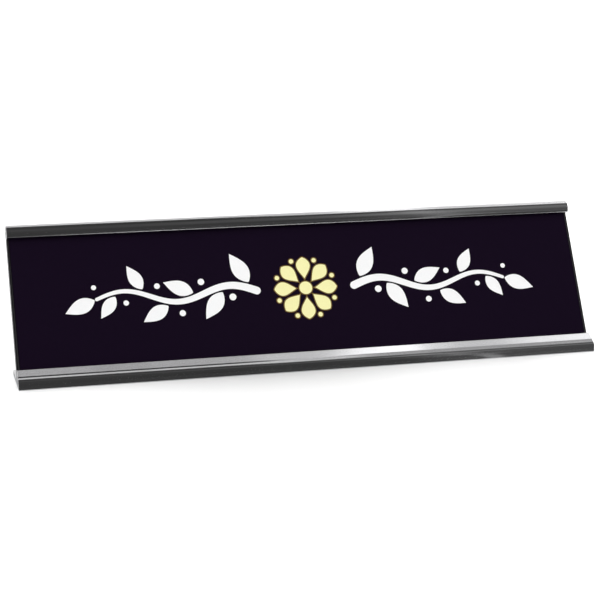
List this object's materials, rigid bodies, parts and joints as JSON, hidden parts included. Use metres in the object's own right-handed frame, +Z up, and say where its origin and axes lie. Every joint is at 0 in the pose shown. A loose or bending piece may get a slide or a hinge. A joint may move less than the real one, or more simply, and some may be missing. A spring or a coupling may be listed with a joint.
{
  "type": "desk nameplate",
  "caption": "Desk nameplate: a leaning aluminium holder with a flat foot and two lengthwise grooves that hold a sliding name insert.",
  "frame": {"origin": "on the desk, under the middle of the object's box", "axes": "+X runs along the sign to the reader's right, +Y from its front to its back, +Z up from the desk"},
  "size_m": [0.2032, 0.0332, 0.0502],
  "materials": {
    "aluminium": "bare drawn aluminium, satin, with fine lengthwise lines",
    "black_plastic": "near-black sheet with a faint violet cast, smooth and low in gloss"
  },
  "bodies": {
    "holder": {"holder": "aluminium"},
    "insert": {"insert": "black_plastic"}
  },
  "joints": [
    {"name": "insert_slide", "type": "slide", "parent": "holder", "child": "insert", "axis": [1, 0, 0], "range_m": [-0.2032, 0.2032]}
  ]
}
